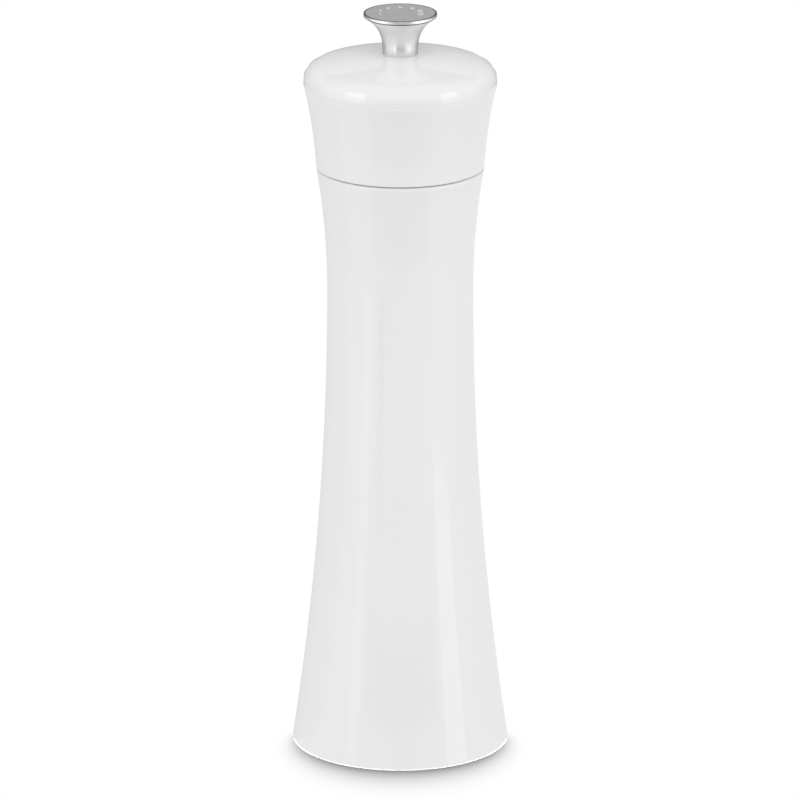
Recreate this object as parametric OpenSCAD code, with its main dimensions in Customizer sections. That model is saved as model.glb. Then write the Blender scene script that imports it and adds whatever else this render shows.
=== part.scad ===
// A tall waisted salt mill that is turned by its head. It stands on z = 0, about the Z axis.
// The head drives a square shaft, and the rotor on its foot turns in a fixed ring in the base.
// The knob runs on the shaft's thread: it lets the rotor down for coarse salt and lifts it for fine.

/* [Body] */
// Outside diameter of the foot
base_d = 60; // [56:0.5:68]
// Outside diameter at the waist
waist_d = 40.1; // [38:0.1:44]
// Height of the waist above the table
waist_z = 130.5; // [115:0.5:140]
// Height of the body up to the seam
body_h = 165; // [152:0.5:185]
// Outside diameter at the seam
seam_d = 46.1; // [45:0.1:50]
// Open height of the seam between body and head
seam_gap = 0.5; // [0.3:0.1:0.8]
// Wall of the body
body_wall = 2.6; // [2:0.1:3.2]
// Bevel round the foot
foot_bevel = 0.7; // [0.2:0.1:1.2]
// Bevel on the body's edge at the seam
seam_bevel = 0.5; // [0.2:0.1:0.8]
// Width of the rim round the mouth
mouth_wall = 3.85; // [3.2:0.05:4.4]
// Depth of the mouth bore that guides the head
mouth_depth = 10; // [8:0.5:12]
// Width of the ring that the head runs on
glide_w = 2.1; // [1.5:0.1:2.4]
// Thickness of the ring that the head runs on
glide_t = 1; // [0.8:0.1:1.6]

/* [Head] */
// Height of the head from its lower edge to the top of its dome
head_h = 31.2; // [29:0.1:36]
// Diameter across the shoulder, before it is rounded
shoulder_d = 53.2; // [50:0.1:57]
// Height of the shoulder above the head's lower edge
shoulder_h = 23.5; // [21:0.1:26]
// How far the side bows in between lower edge and shoulder
side_sag = 0.52; // [0.2:0.02:0.9]
// Radius of the rounded shoulder
shoulder_round = 4.8; // [3.4:0.1:6]
// Radius of the dome
dome_round = 88; // [70:1:130]
// Wall of the head
head_wall = 2.6; // [2:0.1:3]
// Diameter of the boss inside the dome
head_boss_d = 12; // [10.5:0.5:16]
// Height of the boss inside the dome
head_boss_h = 4; // [2:0.5:6]
// Wall of the plug's spigot
spigot_wall = 2.4; // [2.2:0.1:3.2]
// Thickness of the plug's web and flange
web_t = 2.4; // [2:0.1:3]
// Thickness of the friction ring on the spigot
friction_ring_t = 1.6; // [1.2:0.1:1.8]
// Width of the ledge that the plug seats on
ledge_w = 1.8; // [1:0.1:2.4]
// Diameter of the drive plate
drive_plate_d = 21; // [20:0.5:26]
// Thickness of the drive plate
drive_plate_t = 2; // [1.5:0.1:2.5]
// Diameter of the circle of drive plate screws
drive_screw_circle = 14.6; // [13.6:0.2:15.6]

/* [Knob] */
// Diameter of the knob's rim
knob_d = 20; // [18:0.2:23]
// Height of the knob
knob_h = 11.4; // [10.6:0.1:14]
// Height of the rim
rim_h = 1.55; // [1.2:0.05:2]
// Bevel on the rim's edges
rim_bevel = 0.5; // [0.2:0.05:0.55]
// How far the rim stands out from the flare
rim_lip = 0.6; // [0.3:0.05:0.8]
// Diameter of the stem where it meets the head
stem_d = 9.4; // [9:0.1:10]
// Diameter of the stem where the flare begins
stem_top_d = 10.1; // [9.6:0.1:11]
// Height of the stem below the flare
stem_h = 2.5; // [1.5:0.1:3.5]
// Diameter of the disc let into the knob's top
disc_d = 18.2; // [16:0.2:18.4]
// Thickness of the disc
disc_t = 0.8; // [0.6:0.1:1]
// Number of dots on the disc, from fine to coarse
dot_count = 7; // [5:1:9]
// Diameter of the coarsest dot
dot_d = 1.9; // [1.4:0.1:2.2]
// Height of the dots
dot_h = 0.2; // [0.1:0.05:0.3]
// Diameter of the circle that the dots lie on
dot_circle = 11.4; // [10:0.2:13]
// Outside diameter of the threaded insert
insert_d = 7.2; // [6.6:0.1:7.6]
// Length of the threaded insert
insert_h = 8.2; // [6:0.1:8.6]
// Diameter of the washer under the knob
seat_washer_d = 8.4; // [7.6:0.1:8.8]
// Thickness of the washer under the knob
seat_washer_t = 0.9; // [0.7:0.1:1.2]
// How far that washer stands above its seat
seat_proud = 0.2; // [0.1:0.05:0.4]

/* [Shaft] */
// Width across the flats of the square shaft
shaft_w = 5; // [5:0.1:5.5]
// Diameter of the shaft's thread
thread_d = 5; // [4.2:0.1:5]
// Diameter of the screw that holds the rotor
rotor_screw_d = 3; // [2.5:0.1:3.2]
// Length of that screw in the shaft
rotor_screw_h = 9; // [6:0.5:12]
// Diameter of the washer under the rotor
rotor_washer_d = 9.4; // [8:0.2:12]
// Thickness of the washer under the rotor
rotor_washer_t = 0.8; // [0.6:0.1:1.2]

/* [Grinder] */
// Height of the grinder's flange above the table
base_recess = 9; // [8.5:0.5:12]
// Thickness of the flange
flange_t = 2.5; // [2:0.1:3.5]
// Outside diameter of the grinding ring
stator_d = 32.4; // [31:0.2:33]
// Height of the grinding ring
stator_h = 12; // [11:0.5:14]
// Diameter of the grinding ring's feed mouth
feed_d = 22.4; // [21.6:0.2:25]
// Height of its fine teeth
fine_h = 5; // [4:0.5:6]
// Wall of the housing round the grinding ring
ring_wall = 2.3; // [2:0.1:2.6]
// Step in the housing that stops the grinding ring
ring_step = 1.2; // [0.8:0.1:2]
// Room above the grinding ring for the feed and the spring
feed_h = 8; // [7.5:0.5:11]
// Height of the housing's arms
arm_h = 3.5; // [2.5:0.1:4.5]
// Width of the housing's arms
arm_w = 5; // [3.5:0.1:6]
// Outside diameter of the hub
hub_d = 14.8; // [13.6:0.2:16]
// Height of the hub
hub_h = 6.5; // [5:0.5:9]
// Diameter of the rotor's foot
rotor_d = 25; // [23.6:0.2:25.6]
// Diameter of the rotor's top
rotor_top_d = 14.6; // [13.6:0.2:15.6]
// Height of the rotor
rotor_h = 12; // [11:0.5:13]
// How far the rotor stands below the flange
rotor_drop = 1; // [0.4:0.1:1.4]
// Gap between rotor and grinding ring at the finest setting
grind_gap = 0.4; // [0.35:0.05:0.6]
// Thickness of the retainer under the grinding ring
retainer_t = 1.1; // [0.9:0.1:1.5]
// Height of the hopper's funnel
funnel_h = 9.5; // [7:0.5:14]
// Thickness of the funnel
funnel_t = 1.5; // [1.2:0.1:2]
// Height of the funnel's collar round the housing
collar_h = 3; // [2:0.5:5]

/* [Drive bush and spring] */
// Outside diameter of the bush
bush_d = 10; // [9.6:0.1:11]
// Diameter of the bush's flange
bush_flange_d = 13.4; // [12.4:0.2:14.4]
// Thickness of the bush's flange
bush_flange_t = 1.2; // [0.9:0.1:1.6]
// Wire of the spring
wire_d = 0.9; // [0.7:0.05:1]
// Diameter of the spring at the middle of its wire
coil_d = 9.4; // [9.2:0.1:10.2]
// Turns of the spring
spring_turns = 4; // [3:1:4]
// Diameter of the washer under the spring
spring_washer_d = 11.6; // [11:0.2:12.6]
// Thickness of the washer under the spring
spring_washer_t = 0.5; // [0.4:0.1:0.8]

/* [Fasteners] */
// Diameter of the screws that hold the grinder in the body
housing_screw_d = 2.6; // [2.2:0.1:3]
// Diameter of the bosses for those screws
housing_boss_d = 6; // [5.4:0.1:6.4]
// Height of the bosses for those screws
housing_boss_h = 10; // [7:0.5:12]
// Diameter of the screws that hold the retainer
retainer_screw_d = 2; // [1.7:0.1:2.4]
// Diameter of the bosses for those screws
retainer_boss_d = 4.4; // [4:0.1:5]
// Height of the bosses for those screws
retainer_boss_h = 4; // [3:0.5:6]
// Diameter of the drive plate screws
drive_screw_d = 2.4; // [2:0.1:2.8]
// Height of the bosses for the drive plate screws
drive_boss_h = 4; // [3:0.5:6]

/* [Clearances] */
// Room round the bush in its hub
bush_fit = 0.08; // [0.03:0.01:0.1]
// Room round the spigot in the mouth
spigot_fit = 0.1; // [0.06:0.01:0.15]
// Room on each flat of the square shaft
square_fit = 0.1; // [0.06:0.01:0.15]
// Room round the thread in the insert
thread_fit = 0.05; // [0.02:0.01:0.1]
// Room round pieces that are let in or screwed in
seat_fit = 0.05; // [0.02:0.01:0.1]
// Room round the flange and the funnel in the body
body_fit = 0.25; // [0.15:0.05:0.4]
// Room round a screw or the shaft in a plain hole
hole_fit = 0.3; // [0.2:0.05:0.35]
// Room between faces that run on each other
run_gap = 0.1; // [0.05:0.01:0.15]

/* [Hidden] */
$fn = 96;
// Small overlap of pieces that are joined, and overshoot of pieces that are cut away
over = 0.5;
// How far a boss sinks into the wall beside it
boss_sink = 0.6;
// Floor above the blind hole of a screw, and the room that its tip leaves below that floor
blind_floor = 1;
tip_room = 0.5;
// Steps along a long arc and along a short one
long_steps = 12;
short_steps = 8;
// Housing screws and arms stand at these angles, retainer screws half way between them
third_angles = [90, 210, 330];
between_angles = [30, 150, 270];

// Radius of an arc that starts upright and comes out by "out" over the height "rise"
function flare_radius(rise, out) = (rise * rise + out * out) / (2 * out);
// Points on a circle about c, from angle a0 to a1
function arc(c, r, a0, a1, steps) =
    [for (i = [0:steps]) let (a = a0 + (a1 - a0) * i / steps) [c[0] + r * cos(a), c[1] + r * sin(a)]];
// Heights spread evenly from z0 to z1
function heights(z0, z1, steps) = [for (i = [0:steps]) z0 + (z1 - z0) * i / steps];
function reversed(list) = [for (i = [len(list) - 1:-1:0]) list[i]];
function direction(from, to) = atan2(to[1] - from[1], to[0] - from[0]);

// Body: two arcs that meet upright at the waist
base_r = base_d / 2;
waist_r = waist_d / 2;
seam_r = seam_d / 2;
lower_arc = flare_radius(waist_z, base_r - waist_r);
upper_arc = flare_radius(body_h - waist_z, seam_r - waist_r);
// Radius of the body's outside at height z, or of a surface that lies "inset" inside it
function body_r(z, inset = 0) =
    let (round = z < waist_z ? lower_arc : upper_arc)
    waist_r + round - sqrt(pow(round + inset, 2) - pow(z - waist_z, 2));
function body_side(z0, z1, inset = 0) = concat(
    [for (z = heights(z0, waist_z, long_steps)) [body_r(z, inset), z]],
    [for (i = [1:short_steps]) let (z = waist_z + (z1 - waist_z) * i / short_steps) [body_r(z, inset), z]]
);
mouth_r = seam_r - mouth_wall;
mouth_z = body_h - mouth_depth;
head_z = body_h + seam_gap;
glide_top = head_z - run_gap;
glide_z = glide_top - glide_t;
glide_r = mouth_r + glide_w;

// Head: a side that bows in, a rounded shoulder and a dome
shoulder_r = shoulder_d / 2;
side_rise = [shoulder_r - seam_r, shoulder_h];
side_chord = norm(side_rise);
side_round = side_chord * side_chord / (8 * side_sag) + side_sag / 2;
side_centre = [seam_r, head_z] + side_rise / 2
    + (side_round - side_sag) * [side_rise[1], -side_rise[0]] / side_chord;
dome_z = head_z + head_h;
dome_centre = [0, dome_z - dome_round];
// The shoulder's centre touches both the side's circle and the dome's
to_side = side_round + shoulder_round;
to_dome = dome_round - shoulder_round;
between = dome_centre - side_centre;
apart = norm(between);
along = (to_side * to_side - to_dome * to_dome + apart * apart) / (2 * apart);
across = sqrt(to_side * to_side - along * along);
shoulder_centre = side_centre + along * between / apart + across * [between[1], -between[0]] / apart;
side_end_angle = direction(side_centre, shoulder_centre);
dome_start_angle = direction(dome_centre, shoulder_centre);
function side_end_z(inset) = side_centre[1] + (side_round + inset) * sin(side_end_angle);
function head_side_r(z, inset = 0) =
    side_centre[0] - sqrt(pow(side_round + inset, 2) - pow(z - side_centre[1], 2));
// The head's section from height z0 on its side to radius r1 on its dome
function head_outline(z0, r1, inset = 0) = concat(
    [for (z = heights(z0, side_end_z(inset), short_steps)) [head_side_r(z, inset), z]],
    arc(shoulder_centre, shoulder_round - inset, direction(shoulder_centre, side_centre),
        dome_start_angle, short_steps),
    arc(dome_centre, dome_round - inset, dome_start_angle, acos(r1 / (dome_round - inset)), short_steps)
);
seat_r = stem_d / 2 + hole_fit;
seat_z = dome_centre[1] + sqrt(dome_round * dome_round - seat_r * seat_r);
washer_seat_z = seat_z + seat_proud - seat_washer_t;
knob_z = seat_z + seat_proud + run_gap;
knob_top = knob_z + knob_h;
head_boss_z = dome_z - head_wall - head_boss_h;
head_hole_r = thread_d / 2 + hole_fit;

// Plug in the head's lower end, with its spigot in the body's mouth
spigot_r = mouth_r - spigot_fit;
spigot_in_r = spigot_r - spigot_wall;
spigot_z = mouth_z + seam_gap;
plug_flange_z = head_z + run_gap;
plug_flange_r = head_side_r(head_z, head_wall) - seat_fit;
plug_top = plug_flange_z + web_t;
ledge_in_r = plug_flange_r - ledge_w;
ledge_top = plug_top + ledge_w;
friction_ring_r = mouth_r - seat_fit - friction_ring_t / 2;
friction_ring_z = spigot_z + 2 * friction_ring_t;
friction_groove_r = friction_ring_r - friction_ring_t / 2 - seat_fit;
drive_plate_z = plug_flange_z - drive_plate_t;
drive_boss_wall = 1.1;
drive_boss_r = drive_screw_d / 2 + drive_boss_wall;

// Grinder, from the flange upwards
flange_top = base_recess + flange_t;
flange_r = body_r(flange_top, body_wall) - body_fit;
stator_r = stator_d / 2;
stator_top = base_recess + stator_h;
ring_bore_r = stator_r + seat_fit;
ring_r = ring_bore_r + ring_wall;
ring_in_r = stator_r - ring_step;
arm_z = stator_top + feed_h;
ring_top = arm_z + arm_h;
hub_r = hub_d / 2;
bush_r = bush_d / 2;
hub_bore_r = bush_r + bush_fit;
arm_start_r = (hub_bore_r + hub_r) / 2;
bush_flange_top = arm_z - run_gap;
bush_flange_z = bush_flange_top - bush_flange_t;
bush_proud = 1;
bush_top = arm_z + hub_h + bush_proud;
square_hole = shaft_w + 2 * square_fit;
shaft_hole_r = shaft_w / sqrt(2) + hole_fit;
funnel_top = ring_top + funnel_h;
funnel_r = body_r(funnel_top, body_wall) - body_fit;
collar_r = ring_r + seat_fit;
rotor_z = base_recess - rotor_drop;
rotor_top = rotor_z + rotor_h;
rotor_slope = (rotor_d - rotor_top_d) / 2 / rotor_h;
rotor_lean = atan(rotor_slope);
function rotor_r(z) = rotor_d / 2 - rotor_slope * (z - rotor_z);
fine_top = base_recess + fine_h;
fine_tooth = 0.8;
coarse_tooth = 2;
rotor_fine_count = 24;
rotor_coarse_count = 6;
stator_fine_count = 30;
stator_coarse_count = 9;
tooth_slant = 24;
lug_w = 5;
lug_out = 1.2;
lug_h = 3;
retainer_z = base_recess - retainer_t;
retainer_in_r = rotor_d / 2 + 2 * grind_gap;
retainer_r = stator_r + lug_out;
retainer_screw_r = ring_r + retainer_boss_d / 2 - boss_sink;

// Shaft, its spring and its thread
shaft_z = rotor_z + hole_fit;
square_drop = 2;
square_top = head_boss_z - square_drop;
shaft_top = knob_z + insert_h - tip_room;
thread_r = thread_d / 2;
spring_washer_z = rotor_top;
spring_z = spring_washer_z + spring_washer_t + seat_fit;
spring_top = bush_flange_z - seat_fit;
spring_rings = 8;
spring_sides = 6;

// Screws that hold the grinder in the body
housing_screw_r = body_r(flange_top, body_wall) + boss_sink / 2 - housing_boss_d / 2;
housing_boss_top = flange_top + housing_boss_h;

// Knob
knob_r = knob_d / 2;
stem_r = stem_d / 2;
stem_top_r = stem_top_d / 2;
flare_z = knob_z + stem_h;
flare_top = knob_top - rim_h;
flare_end_r = knob_r - rim_lip;
flare_round = flare_radius(flare_top - flare_z, flare_end_r - stem_top_r);
flare_centre = [stem_top_r + flare_round, flare_z];
insert_bore_r = thread_r + thread_fit;

module revolve(points) {
    rotate_extrude() polygon(points);
}

module around(angles, r) {
    for (a = angles) rotate([0, 0, a]) translate([r, 0, 0]) children();
}

module square_bar(w, z0, z1) {
    translate([-w / 2, -w / 2, z0]) cube([w, w, z1 - z0]);
}

module tube(r, r_in, z0, z1) {
    difference() {
        translate([0, 0, z0]) cylinder(r = r, h = z1 - z0);
        translate([0, 0, z0 - over]) cylinder(r = r_in, h = z1 - z0 + 2 * over);
    }
}

// A pan head screw that points up, with the underside of its head on z = 0 and a cross recess below
module screw(d, length) {
    head_r = 0.9 * d;
    head_h = 0.65 * d;
    bevel = 0.25 * d;
    slot = 0.3 * d;
    difference() {
        revolve([
            [0, -head_h], [head_r - bevel, -head_h], [head_r, bevel - head_h], [head_r, 0],
            [d / 2, 0], [d / 2, length - bevel], [d / 2 - bevel, length], [0, length]
        ]);
        for (a = [0, 90]) rotate([0, 0, a])
            translate([-0.6 * d, -slot / 2, -head_h - over]) cube([1.2 * d, slot, over + 0.6 * head_h]);
    }
}

// A V groove along a conical face that leans in by "lean", turned across it by "slant"
module groove(r, z, lean, slant, size, length) {
    translate([r, 0, z]) rotate([0, -lean, 0]) rotate([slant, 0, 0]) rotate([0, 0, 45])
        cube([size, size, length], center = true);
}

module grooves(count, r, z, lean, slant, size, length) {
    for (i = [0:count - 1]) rotate([0, 0, 360 * i / count]) groove(r, z, lean, slant, size, length);
}

module body_shell() {
    color("white") difference() {
        union() {
            revolve(concat(
                [[body_r(0) - foot_bevel, 0]],
                body_side(foot_bevel, body_h - seam_bevel),
                [[seam_r - seam_bevel, body_h], [glide_r + seat_fit, body_h],
                 [glide_r + seat_fit, glide_z], [mouth_r, glide_z], [mouth_r, mouth_z]],
                reversed(body_side(0, mouth_z, body_wall))
            ));
            intersection() {
                around(third_angles, housing_screw_r) translate([0, 0, flange_top])
                    cylinder(d = housing_boss_d, h = housing_boss_h);
                revolve(concat([[0, 0]], body_side(0, body_h, body_wall / 2), [[0, body_h]]));
                tube(base_r, ring_r + body_fit, flange_top, housing_boss_top);
            }
        }
        around(third_angles, housing_screw_r) translate([0, 0, flange_top - over])
            cylinder(r = housing_screw_d / 2 + seat_fit, h = housing_boss_h - blind_floor + over);
    }
}

module grinder_housing() {
    color("dimgray") difference() {
        union() {
            revolve([
                [ring_bore_r, base_recess], [flange_r, base_recess], [flange_r, flange_top],
                [ring_r, flange_top], [ring_r, ring_top], [ring_in_r, ring_top],
                [ring_in_r, stator_top], [ring_bore_r, stator_top]
            ]);
            around(between_angles, retainer_screw_r) translate([0, 0, flange_top - over])
                cylinder(d = retainer_boss_d, h = retainer_boss_h + over);
            translate([0, 0, arm_z]) cylinder(r = hub_r, h = hub_h);
            around(third_angles, arm_start_r) translate([0, -arm_w / 2, arm_z])
                cube([ring_in_r + ring_step / 2 - arm_start_r, arm_w, arm_h]);
        }
        translate([0, 0, arm_z - over]) cylinder(r = hub_bore_r, h = hub_h + 2 * over);
        around(third_angles, housing_screw_r) translate([0, 0, base_recess - over])
            cylinder(r = housing_screw_d / 2 + hole_fit / 2, h = flange_t + 2 * over);
        around(between_angles, retainer_screw_r) translate([0, 0, base_recess - over])
            cylinder(r = retainer_screw_d / 2 + seat_fit, h = flange_t + retainer_boss_h - blind_floor + over);
        around(third_angles, 0) translate([0, -lug_w / 2 - seat_fit, base_recess - over])
            cube([stator_r + lug_out + seat_fit, lug_w + 2 * seat_fit, lug_h + seat_fit + over]);
    }
}

module hopper_funnel() {
    color("gray") revolve([
        [ring_in_r, ring_top], [collar_r, ring_top], [collar_r, ring_top - collar_h],
        [collar_r + funnel_t, ring_top - collar_h], [collar_r + funnel_t, ring_top],
        [funnel_r, funnel_top - funnel_t], [funnel_r, funnel_top]
    ]);
}

module stator() {
    color("ivory") difference() {
        union() {
            revolve([
                [rotor_r(base_recess) + grind_gap, base_recess], [stator_r, base_recess],
                [stator_r, stator_top], [feed_d / 2, stator_top], [rotor_r(fine_top) + grind_gap, fine_top]
            ]);
            around(third_angles, stator_r - over) translate([0, -lug_w / 2, base_recess])
                cube([lug_out + over, lug_w, lug_h]);
        }
        grooves(stator_fine_count, rotor_r(base_recess + fine_h / 2) + grind_gap, base_recess + fine_h / 2,
            rotor_lean, tooth_slant, fine_tooth, fine_h);
        grooves(stator_coarse_count, feed_d / 2, stator_top, 0, tooth_slant, coarse_tooth,
            stator_h - fine_h);
    }
}

module stator_retainer() {
    ear_w = retainer_boss_d - 2 * boss_sink;
    color("silver") difference() {
        union() {
            tube(retainer_r, retainer_in_r, retainer_z, base_recess);
            around(between_angles, retainer_screw_r) translate([0, 0, retainer_z])
                cylinder(d = retainer_boss_d, h = retainer_t);
            around(between_angles, retainer_in_r + over) translate([0, -ear_w / 2, retainer_z])
                cube([retainer_screw_r - retainer_in_r - over, ear_w, retainer_t]);
        }
        around(between_angles, retainer_screw_r) translate([0, 0, retainer_z - over])
            cylinder(r = retainer_screw_d / 2 + hole_fit / 2, h = retainer_t + 2 * over);
    }
}

module retainer_screws() {
    color("silver") around(between_angles, retainer_screw_r) translate([0, 0, retainer_z])
        screw(retainer_screw_d, retainer_t + flange_t + retainer_boss_h - blind_floor - tip_room);
}

module housing_screws() {
    color("silver") around(third_angles, housing_screw_r) translate([0, 0, base_recess])
        screw(housing_screw_d, flange_t + housing_boss_h - blind_floor - tip_room);
}

module glide_ring() {
    color("dimgray") tube(glide_r, mouth_r + seat_fit, glide_z, glide_top);
}

module drive_bush() {
    color("whitesmoke") difference() {
        revolve([
            [0, bush_flange_z], [bush_flange_d / 2, bush_flange_z], [bush_flange_d / 2, bush_flange_top],
            [bush_r, bush_flange_top], [bush_r, bush_top], [0, bush_top]
        ]);
        square_bar(square_hole, bush_flange_z - over, bush_top + over);
    }
}

// The spring's wire follows a helix, with "spring_rings" cross sections to a turn
spring_steps = spring_turns * spring_rings;
spring_rise = spring_top - spring_z - wire_d;
function spring_point(i) =
    let (a = 360 * i / spring_rings)
    [coil_d / 2 * cos(a), coil_d / 2 * sin(a), spring_z + wire_d / 2 + spring_rise * i / spring_steps];
spring_climb = atan(spring_rise / (spring_turns * PI * coil_d));
function spring_section(i) =
    let (a = 360 * i / spring_rings,
         outward = [cos(a), sin(a), 0],
         upward = [sin(a) * sin(spring_climb), -cos(a) * sin(spring_climb), cos(spring_climb)])
    [for (k = [0:spring_sides - 1]) let (b = 360 * k / spring_sides)
        spring_point(i) + wire_d / 2 * (cos(b) * outward + sin(b) * upward)];
spring_least_gap = min([
    for (i = [0:spring_steps], j = [i + spring_rings / 2:1:spring_steps])
        norm(spring_point(i) - spring_point(j)) - wire_d
]);

module spring() {
    echo(spring_least_gap = spring_least_gap);
    sections = [for (i = [0:spring_steps]) each spring_section(i)];
    first = [for (k = [1:spring_sides - 2]) [0, k, k + 1]];
    start = spring_steps * spring_sides;
    last = [for (k = [1:spring_sides - 2]) [start, start + k + 1, start + k]];
    sides = [
        for (i = [0:spring_steps - 1], k = [0:spring_sides - 1], half = [0, 1])
            let (a = i * spring_sides + k,
                 b = i * spring_sides + (k + 1) % spring_sides,
                 c = a + spring_sides,
                 d = b + spring_sides)
            half == 0 ? [a, d, b] : [a, c, d]
    ];
    color("silver") polyhedron(sections, concat(first, last, sides));
}

module spring_washer() {
    color("silver") tube(spring_washer_d / 2, shaft_hole_r, spring_washer_z,
        spring_washer_z + spring_washer_t);
}

module shaft() {
    tip = 0.5;
    color("silver") difference() {
        union() {
            square_bar(shaft_w, shaft_z, square_top);
            revolve([
                [0, square_top - over], [thread_r, square_top - over], [thread_r, shaft_top - tip],
                [thread_r - tip, shaft_top], [0, shaft_top]
            ]);
        }
        translate([0, 0, shaft_z - over])
            cylinder(r = rotor_screw_d / 2 + seat_fit, h = rotor_screw_h + over);
    }
}

module rotor() {
    coarse_z = rotor_top - (rotor_h - fine_h) / 2;
    color("ivory") difference() {
        revolve([[0, rotor_z], [rotor_r(rotor_z), rotor_z], [rotor_r(rotor_top), rotor_top], [0, rotor_top]]);
        square_bar(shaft_w + 2 * seat_fit, rotor_z - over, rotor_top + over);
        grooves(rotor_fine_count, rotor_r(rotor_z), rotor_z, rotor_lean, tooth_slant, fine_tooth,
            2 * fine_h);
        grooves(rotor_coarse_count, rotor_r(coarse_z), coarse_z, rotor_lean, -tooth_slant, coarse_tooth,
            rotor_h - fine_h);
    }
}

module rotor_washer() {
    color("silver") tube(rotor_washer_d / 2, rotor_screw_d / 2 + hole_fit / 2, rotor_z - rotor_washer_t,
        rotor_z);
}

module rotor_screw() {
    color("silver") translate([0, 0, rotor_z - rotor_washer_t])
        screw(rotor_screw_d, rotor_washer_t + rotor_screw_h - tip_room);
}

module head_shell() {
    inner = reversed(head_outline(head_z, head_boss_d / 2, head_wall));
    above_ledge = [for (p = inner) if (p[1] > ledge_top) p];
    color("white") revolve(concat(
        head_outline(head_z, seat_r),
        [[seat_washer_d / 2 + seat_fit, seat_z], [seat_washer_d / 2 + seat_fit, washer_seat_z],
         [head_hole_r, washer_seat_z], [head_hole_r, head_boss_z], [head_boss_d / 2, head_boss_z]],
        above_ledge,
        [[head_side_r(ledge_top, head_wall), ledge_top], [ledge_in_r, ledge_top], [ledge_in_r, plug_top],
         [head_side_r(plug_top, head_wall), plug_top], [head_side_r(head_z, head_wall), head_z]]
    ));
}

module head_plug() {
    groove_h = friction_ring_t + 2 * seat_fit;
    color("gainsboro") difference() {
        union() {
            revolve([
                [shaft_hole_r, plug_flange_z], [spigot_in_r, plug_flange_z], [spigot_in_r, spigot_z],
                [spigot_r, spigot_z], [spigot_r, friction_ring_z - groove_h / 2],
                [friction_groove_r, friction_ring_z - groove_h / 2],
                [friction_groove_r, friction_ring_z + groove_h / 2],
                [spigot_r, friction_ring_z + groove_h / 2], [spigot_r, plug_flange_z],
                [plug_flange_r, plug_flange_z], [plug_flange_r, plug_top], [shaft_hole_r, plug_top]
            ]);
            around(third_angles, drive_screw_circle / 2) translate([0, 0, plug_top - over])
                cylinder(r = drive_boss_r, h = drive_boss_h + over);
        }
        around(third_angles, drive_screw_circle / 2) translate([0, 0, plug_flange_z - over])
            cylinder(r = drive_screw_d / 2 + seat_fit, h = web_t + drive_boss_h - blind_floor + over);
    }
}

module drive_plate() {
    color("silver") difference() {
        translate([0, 0, drive_plate_z]) cylinder(d = drive_plate_d, h = drive_plate_t);
        square_bar(square_hole, drive_plate_z - over, plug_flange_z + over);
        around(third_angles, drive_screw_circle / 2) translate([0, 0, drive_plate_z - over])
            cylinder(r = drive_screw_d / 2 + hole_fit / 2, h = drive_plate_t + 2 * over);
    }
}

module drive_plate_screws() {
    color("silver") around(third_angles, drive_screw_circle / 2) translate([0, 0, drive_plate_z])
        screw(drive_screw_d, drive_plate_t + web_t + drive_boss_h - blind_floor - tip_room);
}

module seat_washer() {
    color("whitesmoke") tube(seat_washer_d / 2, head_hole_r, washer_seat_z, seat_z + seat_proud);
}

module friction_ring() {
    color("lightgray") rotate_extrude() translate([friction_ring_r, friction_ring_z])
        circle(d = friction_ring_t, $fn = 32);
}

module knob() {
    bore_r = insert_d / 2 + seat_fit;
    bore_top = knob_z + insert_h + seat_fit;
    recess_r = disc_d / 2 + seat_fit;
    recess_z = knob_top - disc_t;
    color("silver") revolve(concat(
        [[stem_r, knob_z]],
        arc(flare_centre, flare_round, 180, direction(flare_centre, [flare_end_r, flare_top]), long_steps),
        [[knob_r, knob_top - rim_h + rim_bevel], [knob_r, knob_top - rim_bevel],
         [knob_r - rim_bevel / 2, knob_top], [recess_r, knob_top], [recess_r, recess_z], [0, recess_z],
         [0, bore_top], [bore_r, bore_top], [bore_r, knob_z]]
    ));
}

module knob_disc() {
    first_angle = 195;
    sweep = 210;
    color("silver") {
        translate([0, 0, knob_top - disc_t]) cylinder(d = disc_d, h = disc_t);
        for (i = [0:dot_count - 1]) rotate([0, 0, first_angle - sweep * i / (dot_count - 1)])
            translate([dot_circle / 2, 0, knob_top - disc_t / 2])
            cylinder(d = dot_d * (i + 3) / (dot_count + 2), h = disc_t / 2 + dot_h, $fn = 32);
    }
}

module knob_insert() {
    color("goldenrod") tube(insert_d / 2, insert_bore_r, knob_z, knob_z + insert_h);
}

body_shell();
grinder_housing();
hopper_funnel();
stator();
stator_retainer();
retainer_screws();
housing_screws();
glide_ring();
drive_bush();
spring();
shaft();
rotor();
rotor_washer();
rotor_screw();
spring_washer();
head_shell();
head_plug();
drive_plate();
drive_plate_screws();
seat_washer();
friction_ring();
knob();
knob_disc();
knob_insert();
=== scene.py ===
"""The looks of a salt mill that is turned by its head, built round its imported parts.

Scene lengths are in metres, and section sizes in millimetres. The mill stands on z = 0 about the Z axis.
The photograph's camera stands on the -Y side.
"""
import math

import bmesh
import bpy
from mathutils import Matrix


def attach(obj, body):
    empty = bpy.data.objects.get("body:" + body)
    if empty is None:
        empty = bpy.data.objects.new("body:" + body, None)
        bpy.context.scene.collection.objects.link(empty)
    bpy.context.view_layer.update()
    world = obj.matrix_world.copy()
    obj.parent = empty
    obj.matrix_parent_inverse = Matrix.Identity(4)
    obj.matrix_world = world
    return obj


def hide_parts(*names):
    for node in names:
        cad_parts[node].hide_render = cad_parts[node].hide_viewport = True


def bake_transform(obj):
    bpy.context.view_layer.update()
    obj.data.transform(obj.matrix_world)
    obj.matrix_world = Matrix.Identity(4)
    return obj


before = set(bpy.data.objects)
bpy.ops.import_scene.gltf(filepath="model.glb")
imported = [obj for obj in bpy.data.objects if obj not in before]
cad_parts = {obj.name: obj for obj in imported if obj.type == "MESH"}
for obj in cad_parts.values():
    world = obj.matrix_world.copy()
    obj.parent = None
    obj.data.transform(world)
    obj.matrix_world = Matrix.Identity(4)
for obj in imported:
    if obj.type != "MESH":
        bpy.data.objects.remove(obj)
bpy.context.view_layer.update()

MM = 0.001

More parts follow.
